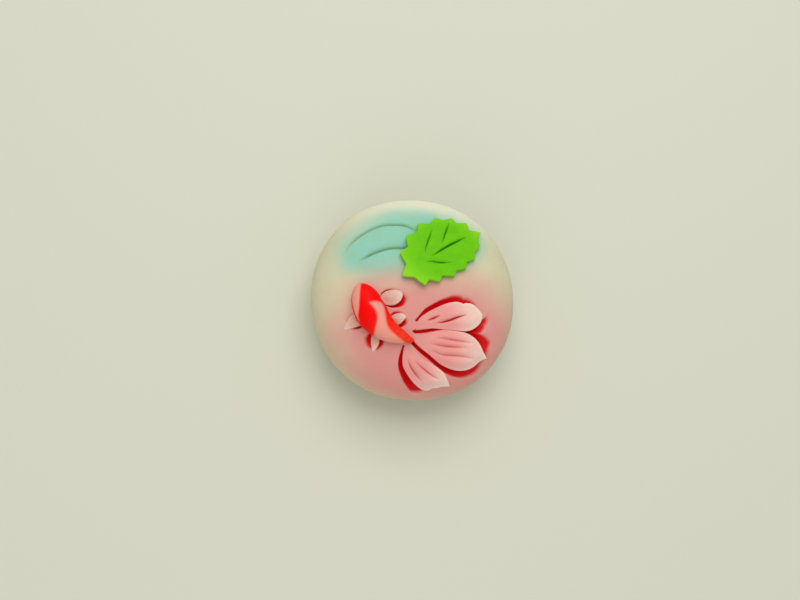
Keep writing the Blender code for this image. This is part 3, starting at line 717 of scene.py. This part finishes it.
RED = srgb(222, 10, 20)
RED_PAINTED_SHADE = srgb(206, 3, 12)
red_finish, tree, shader, mottle = paste_material("red_layer_paste", 0.5, 0.00012)
# Painted shade: the red is painted darker where the cut goes deeper, for the shade that falls in it.
colour = mixed(tree, remapped(tree, kept_value(tree, "cut"), SKIN, 1.9, 0, 1), RED, RED_PAINTED_SHADE)
tree.links.new(colour, shader.inputs["Base Color"])
red.data.materials.clear()
red.data.materials.append(red_finish)
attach(red, "root")
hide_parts("red_layer")


# The goldfish body is a tapered roll of white paste marbled with red, laid on the dough from
# the head down to the root of the tail. It is rounded by hand and stuck by its own moisture.
BODY_BACK = ((-13.4, 0.9), (-12.6, 0.85), (-11.5, 0.5), (-10.4, -0.2), (-9.3, -1.4), (-8.4, -2.9),
             (-7.4, -4.5), (-6.7, -6.0), (-5.75, -7.5), (-4.5, -8.95), (-3.05, -10.2), (-1.85, -11.3),
             (-1.05, -12.0), (-0.8, -12.5))
BODY_BELLY = ((-13.4, 0.9), (-14.2, 0.2), (-14.85, -1.0), (-15.2, -2.4), (-15.2, -3.9), (-14.8, -5.6),
              (-14.2, -7.2), (-13.3, -8.7), (-12.1, -9.9), (-10.6, -11.1), (-9.0, -11.95),
              (-7.0, -12.7), (-4.6, -13.0), (-2.6, -12.95), (-1.3, -12.85), (-0.8, -12.5))
BODY_HEIGHT = 3.44
BODY_TALLEST = 0.36  # share of its length from the head to its highest place
BODY_END = 0.3  # its height at the two ends, over its full height
BODY_FULLNESS = 0.85
BODY_BLUNTNESS = 8  # how square its two ends are
BODY_EDGE = 0.55  # how high its widest line is over its seat
BODY_SUNK = 0.12  # how far its seat is pressed into the dough
UNDERSIDE_SAG = 0.08  # how far the underside hangs below the widest line, over the height
UNDERSIDE_DROP = 0.75  # how much further it goes down, and how quickly: nearer 0 is steeper
UNDERSIDE_FLATNESS = 0.4
UNDERSIDE_SUNK = 0.32  # how far the underside is pressed into the dough
BODY_GIRTH_STEPS = 96
BODY_LENGTH_STEPS = 128
BODY_REACH = 12  # longer than any distance on the body from a marbled patch's edge

bpy.ops.object.select_all(action="DESELECT")
bpy.ops.mesh.primitive_uv_sphere_add(segments=BODY_GIRTH_STEPS, ring_count=BODY_LENGTH_STEPS, radius=1)
body = bpy.context.object
body.name = body.data.name = "marbled_body"
ball = numbers(body.data.vertices, "co", 3)
share = (1 - ball[:, 2]) / 2
turn = np.arctan2(ball[:, 1], ball[:, 0])


def edge_at(corners, share):
    """Places at these shares of an edge's length."""
    edge = curve_through(corners, 0.05)
    at = share * (len(edge) - 1)
    return np.column_stack([np.interp(at, np.arange(len(edge)), edge[:, axis]) for axis in (0, 1)])


back = edge_at(BODY_BACK, share)
belly = edge_at(BODY_BELLY, share)
plan = (back + belly) / 2 + (back - belly) / 2 * np.cos(turn)[:, None]
full = np.where(
    share < BODY_TALLEST,
    np.sqrt(1 - (1 - np.minimum(share / BODY_TALLEST, 1)) ** 2),
    np.cos(0.5 * math.pi * (share - BODY_TALLEST) / (1 - BODY_TALLEST)),
)
ends = np.sqrt(1 - (2 * share - 1) ** BODY_BLUNTNESS)
tall = BODY_HEIGHT * (BODY_END + (1 - BODY_END) * full) * ends
arch = tall * np.abs(np.sin(turn)) ** BODY_FULLNESS
above = np.sin(turn) > 0
height = np.where(above, arch, -UNDERSIDE_SAG * arch) + BODY_EDGE * ends - BODY_SUNK
underside = height - UNDERSIDE_DROP * np.abs(np.sin(turn)) ** UNDERSIDE_FLATNESS
height = np.where(above, height, np.maximum(-UNDERSIDE_SUNK, underside))
seat = np.column_stack([plan, dome_height(*plan.T)])
body.data.vertices.foreach_set("co", ((seat + outward(seat) * height[:, None]) * MM).ravel())
body.data.update()
pick_faces(body, np.ones(len(body.data.polygons), bool))
bpy.ops.mesh.normals_make_consistent(inside=False)
bpy.ops.object.mode_set(mode="OBJECT")
body.data.shade_smooth()

WHITE_WEDGE = ((-11.0, -4.1), (-9.7, -3.85), (-8.4, -4.1), (-7.8, -5.2), (-7.5, -6.7), (-7.2, -8.4),
               (-6.6, -9.8), (-5.1, -11.2), (-3.4, -12.5), (-2.6, -13.4), (-7.8, -14.5),
               (-10.9, -12.5), (-10.0, -11.3), (-9.5, -9.4), (-9.2, -7.6), (-9.6, -5.9))
WHITE_FLANK = ((-13.1, 2.5), (-12.9, 0.9), (-12.95, -1.3), (-13.0, -3.2), (-13.1, -5.1), (-13.3, -6.9),
               (-13.3, -8.6), (-16.5, -9.5), (-18.0, -3.0), (-16.0, 2.5))
wedge = depth_inside(curve_through(WHITE_WEDGE + WHITE_WEDGE[:1])[:-1], plan, BODY_REACH)
flank = depth_inside(curve_through(WHITE_FLANK + WHITE_FLANK[:1])[:-1], plan, BODY_REACH)
rim = np.hypot(*(plan - belly).T)
# The white flank stops short of the belly edge, which stays red: partly the paste's own red, partly a
# painted shadow line under that edge.
white = np.maximum(eased(-0.35, 0.45, wedge), eased(-0.2, 0.3, flank) * eased(0.3, 0.7, rim))
write_values(body, white=white, low=eased(0.35, 1.0, share))

BODY_RED = srgb(250, 2, 1)
BODY_ORANGE = srgb(246, 66, 40)
BODY_WHITE = srgb(238, 158, 142)
body_finish, tree, shader, mottle = paste_material("marbled_paste", 0.42, 0.00008)
shader.inputs["Specular IOR Level"].default_value = 0.08
streak = place_node(tree, "Math", kept_value(tree, "low"), remapped(tree, mottle, 0.35, 0.65, 0.5, 1.0),
                    operation="MULTIPLY").outputs[0]
colour = mixed(tree, streak, BODY_RED, BODY_ORANGE)
colour = mixed(tree, kept_value(tree, "white"), colour, BODY_WHITE)
tree.links.new(colour, shader.inputs["Base Color"])
body.data.materials.append(body_finish)
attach(body, "root")
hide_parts("goldfish_body")


# The leaf is a thin sheet of bright green paste, cut out with a serrated edge, scored
# with four veins and laid on the dough, where its far side stands off the slope.
LEAF_TIPS = ((15.6, 14.6), (15.2, 10.9), (13.7, 7.4), (11.4, 4.8), (8.7, 2.8), (5.1, 1.4), (1.6, 0.3),
             (-3.8, 2.5), (-4.3, 8.3), (-2.8, 12.4), (0.1, 15.9), (4.2, 17.6), (8.4, 17.8),
             (12.2, 16.9))
LEAF_NOTCHES = ((14.5, 12.7), (13.6, 9.1), (11.6, 6.5), (9.0, 4.2), (5.7, 2.9), (2.6, 1.8),
                (-1.0, 2.3), (-2.8, 5.5), (-2.4, 9.7), (-0.1, 13.6), (2.95, 15.8), (6.2, 17.0),
                (9.55, 16.6), (12.6, 14.9))
LEAF_MIDDLE = np.array([6.0, 9.4])
LEAF_RADII = (10.5, 9.0)
LEAF_THICKNESS = 1.5
EDGE_THINNING = 0.25  # how much thinner it is at the teeth, over its thickness
LEAF_WAVE = 0.25
LEAF_WAVES = 5
LEAF_LIFT_RADIUS = 19  # past this distance from the dough's middle the leaf runs straight out
LEAF_VOXEL = 0.16
TOOTH_SWELL = 0.01  # how far a tooth's side bulges, over its distance from the middle
VEIN_HOLLOW = 0.15  # the soft hollow on both sides of a vein
VEIN_HOLLOW_REACH = 1.2
# Each vein: its line, half its width and its depth.
VEINS = (
    (((2.9, 7.4), (4.2, 8.2), (5.6, 9.2), (7.6, 10.5), (9.8, 11.8), (12.0, 13.0)), 0.32, 0.75),
    (((1.6, 7.9), (1.8, 9.5), (2.5, 11.6), (3.6, 14.7)), 0.24, 0.55),
    (((5.7, 10.5), (6.1, 12.0), (6.8, 14.0), (7.9, 16.8)), 0.26, 0.6),
    (((1.6, 6.0), (3.2, 6.2), (5.2, 6.0), (8.2, 6.2)), 0.24, 0.55),
)


def leaf_rest(x, y):
    """Height of the leaf's underside: on the dough, then straight out past its shoulder."""
    away = np.maximum(np.hypot(x, y), 1e-6)
    near = np.minimum(away, LEAF_LIFT_RADIUS)
    shoulder = dome_height(x / away * near, y / away * near)
    inner = dome_height(x / away * (near - 1), y / away * (near - 1))
    return shoulder + (shoulder - inner) * (away - near)


corners = [np.array(c) for pair in zip(LEAF_TIPS, LEAF_NOTCHES) for c in pair]
outline = []
for corner, after in zip(corners, corners[1:] + corners[:1]):
    middle = (corner + after) / 2
    outline += [corner, middle + (middle - LEAF_MIDDLE) * TOOTH_SWELL]
bpy.ops.object.select_all(action="DESELECT")
bpy.ops.mesh.primitive_circle_add(vertices=len(outline), radius=1, fill_type="NGON")
leaf = bpy.context.object
leaf.name = leaf.data.name = "green_leaf"
around = numbers(leaf.data.vertices, "co", 3)
order = np.argsort(np.arctan2(around[:, 1], around[:, 0]) % (2 * math.pi))
flat = np.zeros_like(around)
flat[order[::-1], :2] = outline
leaf.data.vertices.foreach_set("co", (flat * MM).ravel())
leaf.data.update()
pick_faces(leaf, np.ones(1, bool))
bpy.ops.mesh.extrude_region_move(TRANSFORM_OT_translate={"value": (0, 0, LEAF_THICKNESS * MM)})
bpy.ops.mesh.select_all(action="SELECT")
bpy.ops.mesh.normals_make_consistent(inside=False)
bpy.ops.object.mode_set(mode="OBJECT")
remesh = leaf.modifiers.new("remesh", "REMESH")
remesh.mode = "VOXEL"
remesh.voxel_size = LEAF_VOXEL * MM
bpy.ops.object.modifier_apply(modifier="remesh")
soften = leaf.modifiers.new("soften", "SMOOTH")
soften.factor = 0.5
soften.iterations = 7
bpy.ops.object.modifier_apply(modifier="soften")

sheet = numbers(leaf.data.vertices, "co", 3) / MM
reach = np.hypot(*((sheet[:, :2] - LEAF_MIDDLE) / LEAF_RADII).T)
turn = np.arctan2(sheet[:, 1] - LEAF_MIDDLE[1], sheet[:, 0] - LEAF_MIDDLE[0])
wave = LEAF_WAVE * (1 + np.sin(LEAF_WAVES * turn)) * np.clip(reach, 0, 1.1) ** 3
thinner = 1 - EDGE_THINNING * np.clip(reach, 0, 1) ** 4
scored = np.zeros(len(sheet))
for line, width, depth in VEINS:
    along, across = against(curve_through(line), sheet[:, :2], 2.0)
    full = np.sqrt(np.clip(np.sin(math.pi * along), 0, 1))
    groove = np.clip(1 - np.abs(across) / (width * full + 0.03), 0, 1)
    hollow = VEIN_HOLLOW * full * (1 - eased(0, VEIN_HOLLOW_REACH, np.abs(across)))
    scored = np.maximum(scored, groove * full * depth + hollow)
upper = eased(0.3, 0.9, sheet[:, 2] / LEAF_THICKNESS)
raised = sheet[:, 2] * thinner - scored * upper
sheet[:, 2] = leaf_rest(sheet[:, 0], sheet[:, 1]) + wave + raised
leaf.data.vertices.foreach_set("co", (sheet * MM).ravel())
# The edge value is where painted light makes the leaf lighter, towards its outline.
write_values(leaf, vein=scored * upper, edge=eased(0.6, 1.15, reach))
leaf.data.update()
leaf.data.shade_smooth()

LEAF_GREEN = srgb(100, 194, 6)
LEAF_LIGHT = srgb(110, 200, 10)
LEAF_EDGE_PAINTED_LIGHT = srgb(140, 218, 30)
LEAF_VEIN_PAINTED_SHADE = srgb(28, 132, 4)
leaf_finish, tree, shader, mottle = paste_material("leaf_paste", 0.5, 0.00012)
shader.inputs["Specular IOR Level"].default_value = 0.09
colour = mixed(tree, remapped(tree, mottle, 0.35, 0.65, 0, 1), LEAF_GREEN, LEAF_LIGHT)
# Painted light: the leaf is painted lighter and yellower towards its edges.
colour = mixed(tree, kept_value(tree, "edge"), colour, LEAF_EDGE_PAINTED_LIGHT)
# Painted shade: the scored veins are painted dark green by their depth, for the shade in the grooves.
colour = mixed(tree, remapped(tree, kept_value(tree, "vein"), 0.15, 0.7, 0, 1), colour, LEAF_VEIN_PAINTED_SHADE)
tree.links.new(colour, shader.inputs["Base Color"])
leaf.data.materials.append(leaf_finish)
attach(leaf, "root")
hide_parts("leaf")
